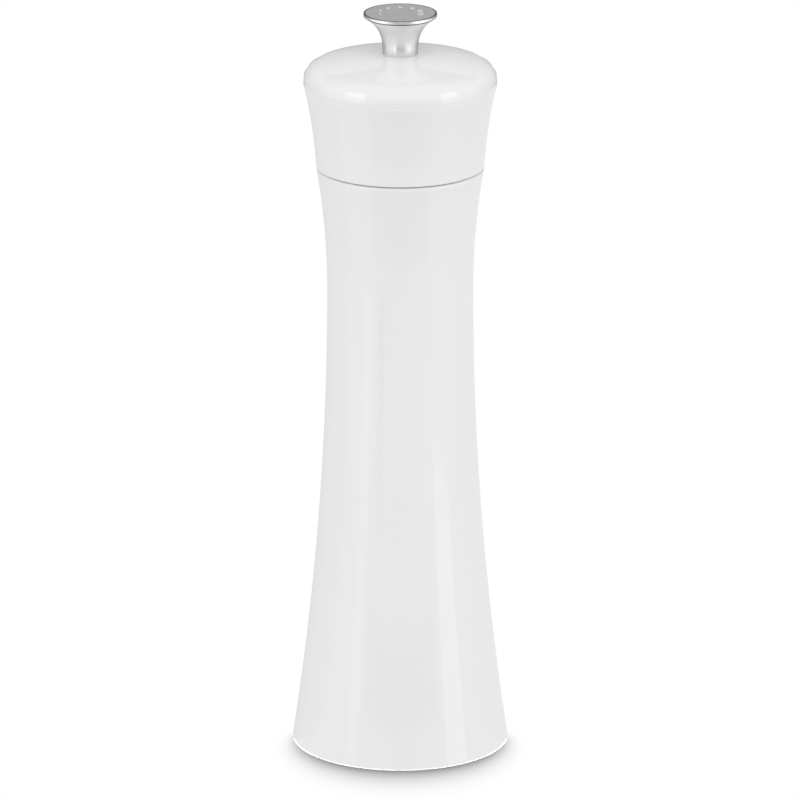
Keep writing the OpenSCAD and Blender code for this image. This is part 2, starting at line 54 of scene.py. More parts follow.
# Fineness of the meshes, in millimetres and degrees
ROUND_STEPS = 160
SMALL_STEPS = 32
MERGE_GAP = 0.002
RING_MATCH = 0.01
SMOOTH_ANGLE = 35
FACING = 0.9
THIRDS = (90, 210, 330)

# Body, in millimetres
BASE_R = 30.0
WAIST_R = 20.05
WAIST_Z = 130.5
SEAM_R = 23.05
SEAM_Z = 165.0
BODY_TOP = 164.75
BODY_WALL = 2.6
MOUTH_R = 19.2
MOUTH_Z = 155.0
GLIDE_R = 21.35
GLIDE_Z = 164.4
FOOT_ROUND = 0.7
BODY_TOP_ROUND = 0.9
INNER_ROUND = 0.15
BOSS_R = 3.0
BOSS_Z = 11.5
BOSS_H = 10.0
BOSS_CIRCLE = 23.0
BOSS_HOLE_R = 1.35
BOSS_HOLE_H = 9.0
LOWER_STEPS = 30
UPPER_STEPS = 14

# Head, in millimetres
HEAD_Z = 165.5
LIP_R = 21.7
LIP_Z = 165.05
LIP_ROUND = 0.15
SHOULDER_R = 26.6
SHOULDER_H = 23.5
SIDE_SAG = 0.52
SHOULDER_ROUND = 4.8
DOME_ROUND = 88.0
DOME_Z = 196.7
HEAD_WALL = 2.6
SEAT_R = 5.0
WASHER_R = 4.25
WASHER_T = 0.7
SHAFT_HOLE_R = 2.8
HEAD_BOSS_R = 6.0
HEAD_BOSS_Z = 190.1
LEDGE_R = 18.6
LEDGE_TOP = 169.8
PLUG_TOP = 168.0
SIDE_STEPS = 16
SHOULDER_STEPS = 16
DOME_STEPS = 20

# Knob, in millimetres
KNOB_Z = 196.858
SKIRT_Z = 196.66
SKIRT_R = 4.4
KNOB_TOP = 208.0
KNOB_R = 10.0
RIM_Z = 206.55
RIM_LOW = 207.08
RIM_EDGE = 0.12
RIM_ROUND = 0.05
RIM_TEETH = 120
RIM_MATCH = 0.002
TOOTH_DEPTH = 0.05
TOOTH_STEPS = 4
TOOTH_MATCH = 0.05
STEM_R = 4.8
STEM_TOP_R = 4.9
STEM_ROUND = 0.06
FLARE_Z = 198.6
FLARE_END_R = 9.3
FLARE_STEPS = 28
INSERT_R = 3.65
INSERT_TOP = 205.108
DISC_R = 9.55
DISC_GAP = 0.1
DISC_T = 0.8
DISC_ROUND = 0.1

# Dots on the disc, in millimetres and degrees
DOT_COUNT = 7
DOT_CIRCLE = 5.7
DOT_FIRST = 195
DOT_SPAN = 210
DOT_START = 3
DOT_D = 1.9
DOT_H = 0.2
DOT_SUNK = 0.2
DOT_ROUND = 0.1
DOT_STEPS = 40

# Shaft and spring, in millimetres
SHAFT_W = 5.0
SHAFT_Z = 8.3
SHAFT_ROUND = 0.3
SQUARE_TOP = 188.1
SHAFT_TOP = 204.558
SCREW_HOLE_R = 1.55
SCREW_HOLE_H = 9.0
COIL_R = 4.7
WIRE_R = 0.45
COIL_Z = 20.55
COIL_TOP = 27.65
COIL_TURNS = 4
COIL_STEPS = 48
WIRE_STEPS = 16

# Thread: depth, flats and flanks in shares of the pitch, spare lengths in turns, the rest in millimetres
THREAD_R = 2.5
THREAD_PITCH = 0.8
THREAD_DEPTH = 0.55
THREAD_FLAT = 0.12
THREAD_FLANK = 0.32
THREAD_SPARE_BELOW = 3
THREAD_SPARE_ABOVE = 2
THREAD_SUNK = 0.5
THREAD_STEPS = 40
THREAD_MERGE_GAP = 0.001


def flare_radius(rise, out):
    """Radius of an arc that starts upright and comes out by "out" over the height "rise"."""
    return (rise * rise + out * out) / (2 * out)


def spread(first, last, steps):
    """Values spread evenly from the first to the last."""
    return [first + (last - first) * i / steps for i in range(steps + 1)]


def arc(centre, radius, start, end, steps):
    """Points on a circle in a section, from one angle to another in radians."""
    return [(centre[0] + radius * math.cos(a), centre[1] + radius * math.sin(a))
            for a in spread(start, end, steps)]


def direction(first, second):
    """Angle of the way from one point of a section to another."""
    return math.atan2(second[1] - first[1], second[0] - first[0])


# Making of meshes

def leave_edit():
    """Close the mesh that is open, if one is."""
    if bpy.context.mode != "OBJECT":
        bpy.ops.object.mode_set(mode="OBJECT")


def choose(first, *others):
    """Select only these objects, and make the first one active."""
    leave_edit()
    bpy.ops.object.select_all(action="DESELECT")
    for piece in (first, *others):
        piece.select_set(True)
    bpy.context.view_layer.objects.active = first


def start_edit(piece):
    """Make this the only selected object and open its mesh."""
    choose(piece)
    bpy.ops.object.mode_set(mode="EDIT")


def new_piece(name, add, **sizes):
    """Add a primitive by itself and open its mesh, with all of it selected."""
    leave_edit()
    bpy.ops.object.select_all(action="DESELECT")
    add(**sizes)
    piece = bpy.context.object
    piece.name = name
    piece.data.name = name
    bpy.ops.object.mode_set(mode="EDIT")
    bpy.ops.mesh.select_mode(type="VERT")
    bpy.ops.mesh.select_all(action="SELECT")
    return piece


def new_point(name, place):
    """Start a piece with a single point at this place, in metres, and open its mesh."""
    piece = new_piece(name, bpy.ops.mesh.primitive_plane_add, size=MM)
    bpy.ops.mesh.merge(type="CENTER")
    bpy.ops.transform.translate(value=place)
    return piece


def extrude(step):
    """Extrude what is selected by this step, in metres. The mesh is open."""
    bpy.ops.mesh.extrude_region_move(TRANSFORM_OT_translate={"value": step})


def pick(piece, kind, test):
    """Select only the edges or faces that pass the test. The mesh is open."""
    bpy.ops.mesh.select_mode(type="EDGE" if kind == "edges" else "FACE")
    bpy.ops.mesh.select_all(action="DESELECT")
    mesh = bmesh.from_edit_mesh(piece.data)
    for item in getattr(mesh, kind):
        if test(item):
            item.select_set(True)
    mesh.select_flush_mode()
    bmesh.update_edit_mesh(piece.data)


def merge_all():
    """Merge the points that lie together. The mesh is open."""
    bpy.ops.mesh.select_all(action="SELECT")
    bpy.ops.mesh.remove_doubles(threshold=MERGE_GAP * MM)


def clean():
    """Merge what lies together and turn every face outwards. The mesh is open."""
    merge_all()
    bpy.ops.mesh.normals_make_consistent(inside=False)


def lathe(name, section, steps=ROUND_STEPS):
    """Draw a closed section point by point, in millimetres, and spin it about the Z axis."""
    piece = new_point(name, (section[0][0] * MM, 0, section[0][1] * MM))
    for (r0, z0), (r1, z1) in zip(section, section[1:] + section[:1]):
        extrude(((r1 - r0) * MM, 0, (z1 - z0) * MM))
    merge_all()
    bpy.ops.mesh.spin(steps=steps, angle=2 * math.pi, center=(0, 0, 0), axis=(0, 0, 1))
    clean()
    return piece


def round_rings(piece, rings, width, segments):
    """Round the ring edges at these radii and heights, in millimetres. The mesh is open."""
    def near(point, ring):
        radius, height = ring
        return (abs(point.co.xy.length / MM - radius) < RING_MATCH
                and abs(point.co.z / MM - height) < RING_MATCH)

    def on_ring(edge):
        return any(all(near(point, ring) for point in edge.verts) for ring in rings)
    pick(piece, "edges", on_ring)
    bpy.ops.mesh.bevel(offset=width * MM, segments=segments, affect="EDGES")


def finish_mesh(piece):
    """Close the mesh and smooth all but its sharp edges."""
    choose(piece)
    bpy.ops.object.transform_apply(location=True, rotation=True, scale=True)
    bpy.ops.object.shade_smooth_by_angle(angle=math.radians(SMOOTH_ANGLE))
    return piece


def apply_modifier(piece, kind, **settings):
    """Close the mesh, add one modifier and apply it."""
    choose(piece)
    modifier = piece.modifiers.new(kind.title(), kind)
    for key, value in settings.items():
        setattr(modifier, key, value)
    bpy.ops.object.modifier_apply(modifier=modifier.name)


def join(first, *others):
    """Make one piece of several."""
    choose(first, *others)
    bpy.ops.object.join()
    return first


def copies_around(piece, angles):
    """Copies of a piece, each with its own mesh, turned about the Z axis by these angles."""
    made = []
    for angle in angles:
        copy = piece.copy()
        copy.data = piece.data.copy()
        bpy.context.scene.collection.objects.link(copy)
        copy.data.transform(Matrix.Rotation(math.radians(angle), 4, "Z"))
        made.append(copy)
    return made


# Sections of the turned pieces

LOWER_ARC = flare_radius(WAIST_Z, BASE_R - WAIST_R)
UPPER_ARC = flare_radius(SEAM_Z - WAIST_Z, SEAM_R - WAIST_R)


def body_radius(z, inset=0.0):
    """Radius of the body's outside at a height, or of a surface inside it."""
    reach = LOWER_ARC if z < WAIST_Z else UPPER_ARC
    return WAIST_R + reach - math.sqrt((reach + inset) ** 2 - (z - WAIST_Z) ** 2)


def body_side(top, inset=0.0):
    """The body's outside from the floor to a height, or a surface inside it."""
    below = [(body_radius(z, inset), z) for z in spread(0, WAIST_Z, LOWER_STEPS)]
    above = [(body_radius(z, inset), z) for z in spread(WAIST_Z, top, UPPER_STEPS)]
    return below + above[1:]


def head_outline(low_z, end_r, inset=0.0):
    """The head's section: a side that bows in, a rounded shoulder and a dome."""
    rise = (SHOULDER_R - SEAM_R, SHOULDER_H)
    chord = math.hypot(*rise)
    side_round = chord * chord / (8 * SIDE_SAG) + SIDE_SAG / 2
    reach = (side_round - SIDE_SAG) / chord
    side = (SEAM_R + rise[0] / 2 + reach * rise[1], HEAD_Z + rise[1] / 2 - reach * rise[0])
    dome = (0.0, DOME_Z - DOME_ROUND)
    to_side = side_round + SHOULDER_ROUND
    to_dome = DOME_ROUND - SHOULDER_ROUND
    apart = math.dist(side, dome)
    along = (to_side ** 2 - to_dome ** 2 + apart ** 2) / (2 * apart)
    across = math.sqrt(to_side ** 2 - along ** 2)
    way = ((dome[0] - side[0]) / apart, (dome[1] - side[1]) / apart)
    shoulder = (side[0] + along * way[0] + across * way[1], side[1] + along * way[1] - across * way[0])
    side_top = side[1] + (side_round + inset) * math.sin(direction(side, shoulder))
    from_side = direction(shoulder, side) - 2 * math.pi
    from_dome = direction(dome, shoulder)
    end = math.acos(end_r / (DOME_ROUND - inset))
    points = [(side[0] - math.sqrt((side_round + inset) ** 2 - (z - side[1]) ** 2), z)
              for z in spread(low_z, side_top, SIDE_STEPS)]
    points += arc(shoulder, SHOULDER_ROUND - inset, from_side, from_dome, SHOULDER_STEPS)[1:]
    points += arc(dome, DOME_ROUND - inset, from_dome, end, DOME_STEPS)[1:]
    return points


# Pieces

def make_body():
    """The waisted shell, open below, with the rim round its mouth and the three bosses of the grinder."""
    section = body_side(BODY_TOP)
    top_r = section[-1][0]
    section += [(GLIDE_R, BODY_TOP), (GLIDE_R, GLIDE_Z), (MOUTH_R, GLIDE_Z), (MOUTH_R, MOUTH_Z)]
    section += reversed(body_side(MOUTH_Z, BODY_WALL))
    shell = lathe("body_skin", section)
    round_rings(shell, [(BASE_R, 0)], FOOT_ROUND, segments=5)
    round_rings(shell, [(top_r, BODY_TOP)], BODY_TOP_ROUND, segments=6)
    inner_foot = (body_radius(0, BODY_WALL), 0)
    inner_mouth = (body_radius(MOUTH_Z, BODY_WALL), MOUTH_Z)
    inner_rings = [(GLIDE_R, BODY_TOP), (MOUTH_R, MOUTH_Z), inner_foot, inner_mouth]
    round_rings(shell, inner_rings, INNER_ROUND, segments=2)
    boss = new_piece("boss", bpy.ops.mesh.primitive_cylinder_add, vertices=SMALL_STEPS, radius=BOSS_R * MM,
                     depth=BOSS_H * MM, location=(BOSS_CIRCLE * MM, 0, (BOSS_Z + BOSS_H / 2) * MM))
    pick(boss, "faces", lambda face: face.normal.z < -FACING)
    bpy.ops.mesh.inset(thickness=(BOSS_R - BOSS_HOLE_R) * MM)
    extrude((0, 0, BOSS_HOLE_H * MM))
    finish_mesh(boss)
    bosses = copies_around(boss, THIRDS)
    bpy.data.objects.remove(boss)
    return finish_mesh(join(shell, *bosses))


def make_head():
    """The domed head, hollow, with the seat of the knob's washer and the ledge of its plug."""
    seat_z = DOME_Z - DOME_ROUND + math.sqrt(DOME_ROUND ** 2 - SEAT_R ** 2)
    washer_z = seat_z - WASHER_T
    inner = list(reversed(head_outline(HEAD_Z, HEAD_BOSS_R, HEAD_WALL)))
    above = [point for point in inner if point[1] > LEDGE_TOP]
    below = [point for point in inner if point[1] < PLUG_TOP]
    section = head_outline(LIP_Z, SEAT_R)
    section += [(WASHER_R, seat_z), (WASHER_R, washer_z), (SHAFT_HOLE_R, washer_z)]
    section += [(SHAFT_HOLE_R, HEAD_BOSS_Z), (HEAD_BOSS_R, HEAD_BOSS_Z)]
    section += above
    section += [(above[-1][0], LEDGE_TOP), (LEDGE_R, LEDGE_TOP)]
    section += [(LEDGE_R, PLUG_TOP), (below[0][0], PLUG_TOP)]
    section += below
    section += [(LIP_R, HEAD_Z), (LIP_R, LIP_Z)]
    shell = lathe("head_skin", section)
    lip_rings = [(section[0][0], LIP_Z), (LIP_R, LIP_Z), (below[-1][0], HEAD_Z)]
    round_rings(shell, lip_rings, LIP_ROUND, segments=3)
    return finish_mesh(shell)


def make_knob():
    """The knob's trumpet: a finely milled rim, a recess for its disc and a skirt round its washer."""
    reach = flare_radius(RIM_Z - FLARE_Z, FLARE_END_R - STEM_TOP_R)
    centre = (STEM_TOP_R + reach, FLARE_Z)
    flare_end = direction(centre, (FLARE_END_R, RIM_Z)) % (2 * math.pi)
    recess_r = DISC_R + DISC_GAP
    recess_z = KNOB_TOP - DISC_T
    corners = [(KNOB_R, RIM_LOW), (KNOB_R, KNOB_TOP - RIM_EDGE), (KNOB_R - RIM_EDGE, KNOB_TOP)]
    section = [(STEM_R, SKIRT_Z)]
    section += arc(centre, reach, math.pi, flare_end, FLARE_STEPS)
    section += corners
    section += [(recess_r, KNOB_TOP), (recess_r, recess_z), (0, recess_z)]
    section += [(0, INSERT_TOP), (INSERT_R, INSERT_TOP), (INSERT_R, KNOB_Z)]
    section += [(SKIRT_R, KNOB_Z), (SKIRT_R, SKIRT_Z)]
    trumpet = lathe("knob_trumpet", section, TOOTH_STEPS * RIM_TEETH)
    round_rings(trumpet, corners, RIM_ROUND, segments=2)
    round_rings(trumpet, [(STEM_R, SKIRT_Z), (FLARE_END_R, RIM_Z)], STEM_ROUND, segments=2)

    def in_groove(point):
        tooth = math.atan2(point.co.y, point.co.x) / (2 * math.pi) * RIM_TEETH
        return point.co.xy.length > (KNOB_R - RIM_MATCH) * MM and abs(tooth - round(tooth)) < TOOTH_MATCH
    pick(trumpet, "edges", lambda edge: all(in_groove(point) for point in edge.verts))
    inwards = 1 - TOOTH_DEPTH / KNOB_R
    bpy.ops.transform.resize(value=(inwards, inwards, 1), center_override=(0, 0, 0))
    return finish_mesh(trumpet)


def make_disc():
    """The satin disc let into the knob's top."""
    section = [(0, KNOB_TOP), (DISC_R, KNOB_TOP), (DISC_R, KNOB_TOP - DISC_T), (0, KNOB_TOP - DISC_T)]
    disc = lathe("disc_face", section)
    round_rings(disc, [(DISC_R, KNOB_TOP)], DISC_ROUND, segments=2)
    return finish_mesh(disc)


def make_dots():
    """Raised dots that grow from fine to coarse round the disc."""
    last = DOT_COUNT - 1
    middle_z = (KNOB_TOP + (DOT_H - DOT_SUNK) / 2) * MM
    dots = []
    for i in range(DOT_COUNT):
        angle = math.radians(DOT_FIRST - DOT_SPAN * i / last)
        radius = DOT_D / 2 * (i + DOT_START) / (last + DOT_START)
        place = (DOT_CIRCLE * math.cos(angle) * MM, DOT_CIRCLE * math.sin(angle) * MM, middle_z)
        dot = new_piece("dot", bpy.ops.mesh.primitive_cylinder_add, vertices=DOT_STEPS, radius=radius * MM,
                        depth=(DOT_H + DOT_SUNK) * MM, location=place)
        pick(dot, "faces", lambda face: face.normal.z > FACING)
        bpy.ops.mesh.bevel(offset=DOT_ROUND * MM, segments=3, affect="EDGES")
        dots.append(finish_mesh(dot))
    dots[0].name = "grind_dots"
    return finish_mesh(join(*dots))


def make_shaft():
    """The square shaft, with its screw hole below and a cut thread above."""
    bar = new_piece("shaft_bar", bpy.ops.mesh.primitive_cube_add, size=SHAFT_W * MM,
                    location=(0, 0, (SHAFT_Z + SHAFT_W / 2) * MM))
    pick(bar, "faces", lambda face: face.normal.z > FACING)
    bpy.ops.transform.translate(value=(0, 0, (SQUARE_TOP - SHAFT_Z - SHAFT_W) * MM))
    finish_mesh(bar)
    apply_modifier(bar, "BEVEL", width=SHAFT_ROUND * MM, segments=3)
    hole = new_piece("hole", bpy.ops.mesh.primitive_cylinder_add, vertices=SMALL_STEPS,
                     radius=SCREW_HOLE_R * MM, depth=2 * SCREW_HOLE_H * MM, location=(0, 0, SHAFT_Z * MM))
    finish_mesh(hole)
    apply_modifier(bar, "BOOLEAN", operation="DIFFERENCE", object=hole)
    bpy.data.objects.remove(hole)
    return finish_mesh(join(bar, make_thread()))


def make_thread():
    """One tooth of the thread, wound up the shaft and cut square at both ends."""
    start_z = SQUARE_TOP - THREAD_SPARE_BELOW * THREAD_PITCH
    depth = THREAD_DEPTH * THREAD_PITCH
    flat = (0, THREAD_FLAT)
    thread = new_point("thread", ((THREAD_R - depth) * MM, 0, start_z * MM))
    for out, up in (flat, (depth, THREAD_FLANK), flat, (-depth, THREAD_FLANK), flat):
        extrude((out * MM, 0, up * THREAD_PITCH * MM))
    turns = math.ceil((SHAFT_TOP - start_z) / THREAD_PITCH) + THREAD_SPARE_ABOVE
    apply_modifier(thread, "SCREW", axis="Z", angle=2 * math.pi, screw_offset=THREAD_PITCH * MM,
                   iterations=turns, steps=THREAD_STEPS, render_steps=THREAD_STEPS,
                   use_merge_vertices=True, merge_threshold=THREAD_MERGE_GAP * MM)
    start_edit(thread)
    clean()
    for z, below in ((SQUARE_TOP - THREAD_SUNK, True), (SHAFT_TOP, False)):
        bpy.ops.mesh.select_all(action="SELECT")
        bpy.ops.mesh.bisect(plane_co=(0, 0, z * MM), plane_no=(0, 0, 1), use_fill=True,
                            clear_inner=below, clear_outer=not below)
    clean()
    return finish_mesh(thread)


def make_spring():
    """The wire of the spring, wound in one helix with its two ends closed."""
    wire = new_piece("spring_coil", bpy.ops.mesh.primitive_circle_add, vertices=WIRE_STEPS,
                     radius=WIRE_R * MM, rotation=(math.pi / 2, 0, 0),
                     location=(COIL_R * MM, 0, (COIL_Z + WIRE_R) * MM))
    leave_edit()
    bpy.ops.object.transform_apply(location=True, rotation=True, scale=True)
    pitch = (COIL_TOP - COIL_Z - 2 * WIRE_R) / COIL_TURNS
    apply_modifier(wire, "SCREW", axis="Z", angle=2 * math.pi, screw_offset=pitch * MM,
                   iterations=COIL_TURNS, steps=COIL_STEPS, render_steps=COIL_STEPS)
    start_edit(wire)
    pick(wire, "edges", lambda edge: edge.is_boundary)
    bpy.ops.mesh.edge_face_add()
    clean()
    return finish_mesh(wire)


# Finishes

class Value:
    """A shader value that can stand in a Python sum."""

    def __init__(self, finish, socket):
        self.finish = finish
        self.socket = socket

    def __add__(self, other):
        return self.finish.combine("ADD", self, other)

    def __sub__(self, other):
        return self.finish.combine("SUBTRACT", self, other)

    def __rsub__(self, other):
        return self.finish.combine("SUBTRACT", other, self)

    def __mul__(self, other):
        return self.finish.combine("MULTIPLY", self, other)

    def __truediv__(self, other):
        return self.finish.combine("DIVIDE", self, other)

    __radd__ = __add__
    __rmul__ = __mul__


class Finish:
    """A material on one Principled shader. What is the same all over is set on the shader itself."""

    def __init__(self, name, constants=None, tree=None):
        if tree is None:
            self.material = bpy.data.materials.new(name)
            self.material.use_nodes = True
            tree = self.material.node_tree
        self.tree = tree
        self.shader = tree.nodes.get("Principled BSDF")
        for key, value in (constants or {}).items():
            self.shader.inputs[key].default_value = value

    def node(self, kind, settings=None, inputs=None, output=0):
        """Add a node: its settings first, then the values or links of its sockets."""
        node = self.tree.nodes.new(kind)
        for key, value in (settings or {}).items():
            setattr(node, key, value)
        for key, value in (inputs or {}).items():
            self.feed(node.inputs[key], value)
        return Value(self, node.outputs[output])

    def feed(self, socket, value):
        """Link a value to a socket, or set the socket to a constant."""
        if isinstance(value, Value):
            self.tree.links.new(value.socket, socket)
        else:
            socket.default_value = value

    def set(self, socket, value):
        """Feed one socket of the Principled shader."""
        self.feed(self.shader.inputs[socket], value)

    def show(self, surface):
        """Make this shader the surface in place of the Principled one."""
        self.tree.links.new(surface.socket, self.tree.nodes["Material Output"].inputs["Surface"])

    def combine(self, operation, first, second):
        """One Math node on two values or numbers."""
        return self.node("ShaderNodeMath", {"operation": operation}, {0: first, 1: second})

    def place(self):
        """Where a point lies on its piece."""
        return self.node("ShaderNodeTexCoord", output="Object")

    def part_of(self, vector, axis):
        """One coordinate of a place."""
        return self.node("ShaderNodeSeparateXYZ", inputs={"Vector": vector}, output=axis)

    def stretched(self, vector, scale):
        """A place with each coordinate scaled by its own number."""
        return self.node("ShaderNodeVectorMath", {"operation": "MULTIPLY"}, {0: vector, 1: scale})

    def around(self, vector):
        """Distance from the mill's axis."""
        flat = self.stretched(vector, (1, 1, 0))
        return self.node("ShaderNodeVectorMath", {"operation": "LENGTH"}, {0: flat}, output="Value")

    def noise(self, vector, scale, detail, roughness=0.5):
        """Noise from 0 to 1 in space."""
        return self.node("ShaderNodeTexNoise", {"noise_dimensions": "3D"}, {
            "Vector": vector, "Scale": scale, "Detail": detail, "Roughness": roughness}, "Fac")

    def rings(self, value, scale, detail):
        """Noise along one number, for turned or brushed lines."""
        return self.node("ShaderNodeTexNoise", {"noise_dimensions": "1D"}, {
            "W": value, "Scale": scale, "Detail": detail}, "Fac")

    def swing(self, mean, *noises):
        """A value that swings round its mean. Each noise comes with the width of its swing."""
        total = mean - sum(width for noise, width in noises) / 2
        for noise, width in noises:
            total = total + width * noise
        return total

    def step(self, value, low, high):
        """0 below, 1 above, and smooth between."""
        return self.node("ShaderNodeMapRange", {"interpolation_type": "SMOOTHSTEP"}, {
            "Value": value, "From Min": low, "From Max": high})

    def blend(self, factor, first, second):
        """Mix two colours, each a triple or a link."""
        low, high = (c if isinstance(c, Value) else (*c, 1) for c in (first, second))
        return self.node("ShaderNodeMix", {"data_type": "RGBA"}, {0: factor, 6: low, 7: high}, 2)

    def bump(self, height, depth):
        """Raise the surface by a height from 0 to 1 times this depth in millimetres."""
        self.set("Normal", self.node("ShaderNodeBump", None, {
            "Strength": 1, "Distance": depth * MM, "Height": height}, "Normal"))


# Shells: two tones, mean roughness and depth of the orange peel in millimetres
SHELL_TONES = ((0.785, 0.785, 0.782), (0.765, 0.765, 0.763))
SHELL_ROUGHNESS = 0.051
PEEL_DEPTH = 0.004

# Trumpet of the knob: tones and mean roughness, and bands of height in millimetres, with a painted light
# tone for the flare's top and a painted shade tone for the lines along the rim's edges
TRUMPET_TONES = ((0.87, 0.865, 0.86), (0.81, 0.805, 0.80))
FLARE_PAINTED_LIGHT_TONE = (0.96, 0.955, 0.95)
PAINTED_SHADE_LINE_TONE = (0.18, 0.179, 0.178)
TRUMPET_ROUGHNESS = 0.295
FLARE_ROUGHER = 0.14
RIM_ROUGHNESS = 0.21
TURNED_DEPTH = 0.002
FLARE_PAINTED_LIGHT_BAND = (RIM_Z - 3, RIM_Z - 1)
FLARE_ROUGH_BAND = (RIM_Z - 3, RIM_Z)
LOW_PAINTED_SHADE_BAND = (RIM_Z + 0.1, RIM_Z + 0.2)
RIM_BAND = (RIM_LOW, RIM_LOW + 0.1)
HIGH_PAINTED_SHADE_BAND = (KNOB_TOP - 0.16, KNOB_TOP - 0.1)

# Ceramic: tones, mean roughness, where a noise turns into specks, and the grain's depth in millimetres
CERAMIC_TONES = ((0.80, 0.78, 0.72), (0.70, 0.67, 0.60))
SPECK_TONE = (0.42, 0.39, 0.34)
CERAMIC_ROUGHNESS = 0.505
SPECK_BAND = (0.66, 0.74)
CERAMIC_DEPTH = 0.02

# Metals: two tones, mean roughness, scale and depth in millimetres of the lines, and the way across them
METALS = {
    "disc_satin": ((0.68, 0.676, 0.668), (0.61, 0.607, 0.60), 0.33, 9000, 0.002, "R"),
    "dot_polish": ((0.90, 0.895, 0.885), (0.84, 0.835, 0.825), 0.12, 2000, 0.0005, "R"),
    "brass": ((0.80, 0.60, 0.28), (0.66, 0.47, 0.20), 0.30, 5000, 0.004, "Z"),
    "steel": ((0.66, 0.655, 0.64), (0.54, 0.535, 0.52), 0.32, 3000, 0.004, "Z"),
    "screw_steel": ((0.74, 0.735, 0.72), (0.60, 0.595, 0.58), 0.28, 2500, 0.003, "Z"),
}

# Plastics: two tones, mean roughness, scale and depth in millimetres of the skin
PLASTICS = {
    "housing_grey": ((0.075, 0.076, 0.080), (0.055, 0.056, 0.060), 0.48, 1800, 0.03),
    "funnel_grey": ((0.30, 0.305, 0.31), (0.25, 0.255, 0.26), 0.42, 1500, 0.02),
    "glide_grey": ((0.42, 0.42, 0.425), (0.37, 0.37, 0.375), 0.40, 1500, 0.02),
    "plug_white": ((0.74, 0.74, 0.735), (0.70, 0.70, 0.695), 0.42, 1500, 0.02),
    "acetal": ((0.72, 0.715, 0.69), (0.66, 0.655, 0.63), 0.36, 1500, 0.01),
    "silicone": ((0.55, 0.55, 0.54), (0.48, 0.48, 0.47), 0.55, 2200, 0.02),
}


def white_gloss():
    """Glossy white shell, with a faint orange peel and a trace of handling in its gloss."""
    finish = Finish("white_gloss", {"IOR": 1.5})
    place = finish.place()
    cloud = finish.noise(place, scale=28, detail=2)
    peel = finish.noise(place, scale=420, detail=2)
    haze = finish.noise(finish.stretched(place, (1, 1, 0.35)), scale=160, detail=4, roughness=0.6)
    finish.set("Base Color", finish.blend(cloud, *SHELL_TONES))
    finish.set("Roughness", finish.swing(SHELL_ROUGHNESS, (haze, 0.03), (cloud, 0.012)))
    finish.bump(peel, PEEL_DEPTH)
    return finish.material


def knob_satin():
    """Satin trumpet with fine turned lines, a polished rim with a painted shade line along both its edges,
    and painted light on the flare's top.
    """
    finish = Finish("knob_satin", {"Metallic": 1.0, "Specular Tint": (0.6, 0.6, 0.6, 1),
                                   "Anisotropic": 0.8, "Anisotropic Rotation": 0.25})
    place = finish.place()
    height = finish.part_of(place, "Z")
    fine = finish.rings(height, scale=9000, detail=3)
    cloud = finish.noise(place, scale=300, detail=3)

    def above(band):
        low, high = band
        return finish.step(height, low * MM, high * MM)
    rim = above(RIM_BAND)
    # The dark mask is painted shade: dark lines along the lower and upper edges of the rim.
    dark = above(LOW_PAINTED_SHADE_BAND) * (1 - rim) + above(HIGH_PAINTED_SHADE_BAND)
    tone = finish.blend(0.5 * fine + 0.5 * cloud, *TRUMPET_TONES)
    # Painted light: the top of the flare, just under the rim, is painted lighter.
    tone = finish.blend(above(FLARE_PAINTED_LIGHT_BAND), tone, FLARE_PAINTED_LIGHT_TONE)
    finish.set("Base Color", finish.blend(dark, tone, PAINTED_SHADE_LINE_TONE))
    satin = finish.swing(TRUMPET_ROUGHNESS, (fine, 0.06), (cloud, 0.05))
    satin = satin + FLARE_ROUGHER * above(FLARE_ROUGH_BAND)
    polish = finish.swing(RIM_ROUGHNESS, (cloud, 0.08))
    finish.set("Roughness", satin * (1 - rim) + polish * rim)
    finish.bump(fine * (1 - rim), TURNED_DEPTH)
    return finish.material


def ceramic():
    """Fired ceramic: off white, fine grained, with darker specks."""
    finish = Finish("ceramic", {"IOR": 1.7})
    place = finish.place()
    grain = finish.noise(place, scale=1400, detail=4)
    speck = finish.step(finish.noise(place, scale=2600, detail=2), *SPECK_BAND)
    tone = finish.blend(grain, *CERAMIC_TONES)
    finish.set("Base Color", finish.blend(speck, tone, SPECK_TONE))
    finish.set("Roughness", finish.swing(CERAMIC_ROUGHNESS, (grain, 0.25)))
    finish.bump(grain, CERAMIC_DEPTH)
    return finish.material


def metal(name, bright, dull, roughness, lines, depth, way):
    """Brushed or turned metal: fine lines that change its colour, gloss and surface."""
    finish = Finish(name, {"Metallic": 1.0})
    place = finish.place()
    across = finish.part_of(place, "Z") if way == "Z" else finish.around(place)
    fine = finish.rings(across, scale=lines, detail=3)
    cloud = finish.noise(place, scale=220, detail=3)
    finish.set("Base Color", finish.blend(0.6 * fine + 0.4 * cloud, bright, dull))
    finish.set("Roughness", finish.swing(roughness, (fine, 0.14), (cloud, 0.08)))
    finish.bump(fine, depth)
    return finish.material


def plastic(name, light, deep, roughness, grain, depth):
    """Moulded plastic: cloudy colour, a fine skin, and gloss that changes a little."""
    finish = Finish(name, {"IOR": 1.5})
    place = finish.place()
    cloud = finish.noise(place, scale=60, detail=2)
    skin = finish.noise(place, scale=grain, detail=3)
    finish.set("Base Color", finish.blend(cloud, light, deep))
    finish.set("Roughness", finish.swing(roughness, (skin, 0.12), (cloud, 0.04)))
    finish.bump(skin, depth)
    return finish.material


def wear(piece, material):
    """Give an object one material."""
    piece.data.materials.clear()
    piece.data.materials.append(material)


FINISHES = {"white_gloss": white_gloss(), "knob_satin": knob_satin(), "ceramic": ceramic()}
for name, recipe in METALS.items():
    FINISHES[name] = metal(name, *recipe)
for name, recipe in PLASTICS.items():
    FINISHES[name] = plastic(name, *recipe)

